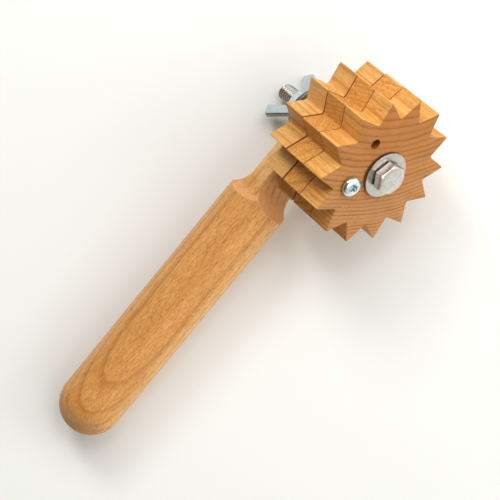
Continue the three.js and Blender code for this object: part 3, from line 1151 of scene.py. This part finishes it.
def makeScrew(material):
    # shank rings with a thin ridge that climbs one pitch a turn and narrows to the point, a flat underside,
    # and a domed head, nearly an ellipse in the radius, less a cross with sloping walls and a bowl
    s = screw
    seat = stack["screwSeat"]
    angle = (np.arange(s["steps"]) * 2 * np.pi / s["steps"])[None, :]
    tip = seat - s["length"]
    rows = np.arange(tip, seat - s["shankGap"], s["pitch"] / s["rowsPerPitch"])[:, None]
    turns = rows / s["pitch"] - angle / (2 * np.pi)
    ridge = np.clip(1 - np.abs(2 * (turns % 1) - 1) * s["ridgeSlope"], 0, 1)
    thin = np.clip((rows - tip) / s["point"], 0, 1)
    shank = (s["core"] + (s["shank"] - s["core"]) * ridge) * thin ** s["taper"]
    body = np.stack([shank * np.cos(angle), shank * np.sin(angle), rows + 0 * angle], -1)
    collar = turnedGrid([
        [s["shank"], seat],
        [s["head"] - s["underEase"], seat],
        [s["head"], seat + s["underEase"]],
        [s["head"], seat + s["rim"] * s["rimShare"]],
    ], s["steps"])
    domeRows = np.concatenate([np.linspace(1, 0.85, 10), np.linspace(0.83, 0, 56)])[:, None]
    radius = domeRows * s["head"]
    crown = (s["height"] - s["rim"]) * np.sqrt(np.clip(1 - domeRows ** 2, 0, 1)) ** s["roundness"]
    turn = math.radians(s["recessTurn"])
    x, y = np.abs(radius * np.cos(angle - turn)), np.abs(radius * np.sin(angle - turn))
    slotX = np.minimum((s["slotHalf"] - y) / s["slotWall"], (s["recessHalf"] - x) / s["recessWall"])
    slotY = np.minimum((s["slotHalf"] - x) / s["slotWall"], (s["recessHalf"] - y) / s["recessWall"])
    bowl = (s["bowl"] - np.hypot(x, y)) / s["bowlWall"]
    depth = s["recess"] * np.clip(np.maximum(np.maximum(slotX, slotY), bowl), 0, 1)
    dome = np.stack([radius * np.cos(angle), radius * np.sin(angle), seat + s["rim"] + crown - depth], -1)
    grid = np.concatenate([body, collar, dome]) + [screwSpot[0], screwSpot[1], 0]
    mesh = gridMesh("lock_screw", grid, creaseAngle=s["crease"])
    return addPiece(mesh, "screw", "lock_screw", material)


makeScrew(screwZinc)

# floor, light and camera
stage = {
    "floor": (0.845, 0.84, 0.82),
    "floorShade": 0.985,
    "floorHalf": 3.0,
    "skyDim": (0.07, 0.069, 0.066),
    "skyBright": (0.60, 0.60, 0.585),
    "skyAim": (0.8, 0.25),
    "skySpread": (-0.7, -0.1),
    "skyHeight": (0.45, 0.80),
    "away": 1.3,
    "boxes": {
        "keyBox": {"turn": 110, "lift": 42, "size": 0.35, "power": 5.1, "colour": (1.0, 1.0, 0.97)},
        "topBox": {"turn": 90, "lift": 55, "size": 0.8, "power": 5.9, "colour": (1.0, 1.0, 0.985)},
        "topRightBox": {"turn": 45, "lift": 55, "size": 0.8, "power": 5.5, "colour": (0.93, 0.97, 1.0)},
        "rightBox": {"turn": 0, "lift": 30, "size": 0.8, "power": 5.8, "colour": (0.97, 1.0, 0.98)},
        "lowRightBox": {"turn": 315, "lift": 55, "size": 0.8, "power": 3.9, "colour": (1.0, 0.95, 0.84)},
    },
}
cameraLook = {
    "place": (-6.409, -573.821, 483.869),
    "right": (-0.63421, 0.53795, 0.55533),
    "up": (-0.76749, -0.35125, -0.53626),
    "focalPixels": 1696.0,
    "framePixels": 500.0,
    "sensor": 36.0,
}


def inFrame(direction):
    # a direction on the tool's axes, turned to the frame's axes and made 1 long
    return Vector(toolTurn @ np.asarray(direction, float)).normalized()


def addCamera():
    # the lens is the sensor's width times the focal length over the frame's width, both in pixels
    right = inFrame(cameraLook["right"])
    up = inFrame(cameraLook["up"])
    back = right.cross(up)
    up = back.cross(right)
    data = bpy.data.cameras.new("camera")
    data.sensor_width = cameraLook["sensor"]
    data.lens = cameraLook["sensor"] * cameraLook["focalPixels"] / cameraLook["framePixels"]
    data.clip_start = 0.01
    data.clip_end = 20
    camera = inScene("camera", data)
    turn = Matrix((right, up, back)).transposed().to_4x4()
    camera.matrix_world = Matrix.Translation(Vector(placed(cameraLook["place"]))) @ turn
    bpy.context.scene.camera = camera
    return right, up


def addSoftbox(name, look, right, up):
    # a square panel aimed at the middle: it stands `turn` degrees round from the photograph's right towards
    # its top, and `lift` degrees up from the floor
    turn, lift = math.radians(look["turn"]), math.radians(look["lift"])
    level = right * math.cos(turn) + up * math.sin(turn)
    place = (level * math.cos(lift) + Vector((0, 0, math.sin(lift)))).normalized() * stage["away"]
    data = bpy.data.lights.new(name, "AREA")
    data.shape = "RECTANGLE"
    data.size = data.size_y = look["size"]
    data.energy = look["power"]
    data.color = look["colour"]
    light = inScene(name, data)
    light.location = place
    light.rotation_euler = (-place).to_track_quat("-Z", "Y").to_euler()


def addFloor():
    # a square of pale paper, clouded by a hundredth or so
    half = stage["floorHalf"]
    mesh = bpy.data.meshes.new("floor")
    corners = [(-half, -half, 0), (half, -half, 0), (half, half, 0), (-half, half, 0)]
    mesh.from_pydata(corners, [], [(0, 1, 2, 3)])
    floor = inScene("floor", mesh)
    paper = Finish("floor paper")
    cloud = paper.noise(paper.add("ShaderNodeTexCoord", output="Object"), scale=2.0, detail=2.0)
    shaded = tuple(value * stage["floorShade"] for value in stage["floor"])
    mesh.materials.append(paper.shade(paper.mix(cloud, stage["floor"], shaded), 0.7))


def addSky(right, up):
    # the room beyond the panels: pale walls up to skyHeight, given as the share of the way up, on the sides
    # that face skyAim, given towards the photograph's right and top, and dim overhead and on the other side
    world = bpy.data.worlds.new("studio")
    world.use_nodes = True
    nodes, links = world.node_tree.nodes, world.node_tree.links
    direction = nodes.new("ShaderNodeTexCoord").outputs["Generated"]
    blend = nodes.new("ShaderNodeMix")
    blend.data_type = "RGBA"
    blend.inputs[6].default_value = (*stage["skyDim"], 1)
    blend.inputs[7].default_value = (*stage["skyBright"], 1)
    both = nodes.new("ShaderNodeMath")
    both.operation = "MULTIPLY"
    aim = (right * stage["skyAim"][0] + up * stage["skyAim"][1]).normalized()
    climbs = [(aim, stage["skySpread"]), (Vector((0, 0, 1)), stage["skyHeight"][::-1])]
    for number, (line, reach) in enumerate(climbs):
        climb = nodes.new("ShaderNodeVectorMath")
        climb.operation = "DOT_PRODUCT"
        climb.inputs[1].default_value = line
        share = nodes.new("ShaderNodeMapRange")
        share.interpolation_type = "SMOOTHSTEP"
        share.inputs["From Min"].default_value, share.inputs["From Max"].default_value = reach
        links.new(direction, climb.inputs[0])
        links.new(climb.outputs["Value"], share.inputs["Value"])
        links.new(share.outputs["Result"], both.inputs[number])
    links.new(both.outputs[0], blend.inputs[0])
    links.new(blend.outputs[2], nodes["Background"].inputs["Color"])
    bpy.context.scene.world = world


right, up = addCamera()
addFloor()
for boxName, boxLook in stage["boxes"].items():
    addSoftbox(boxName, boxLook, right, up)
addSky(right, up)
bpy.context.scene.view_settings.view_transform = "Standard"
print("clay wheel: stage set")
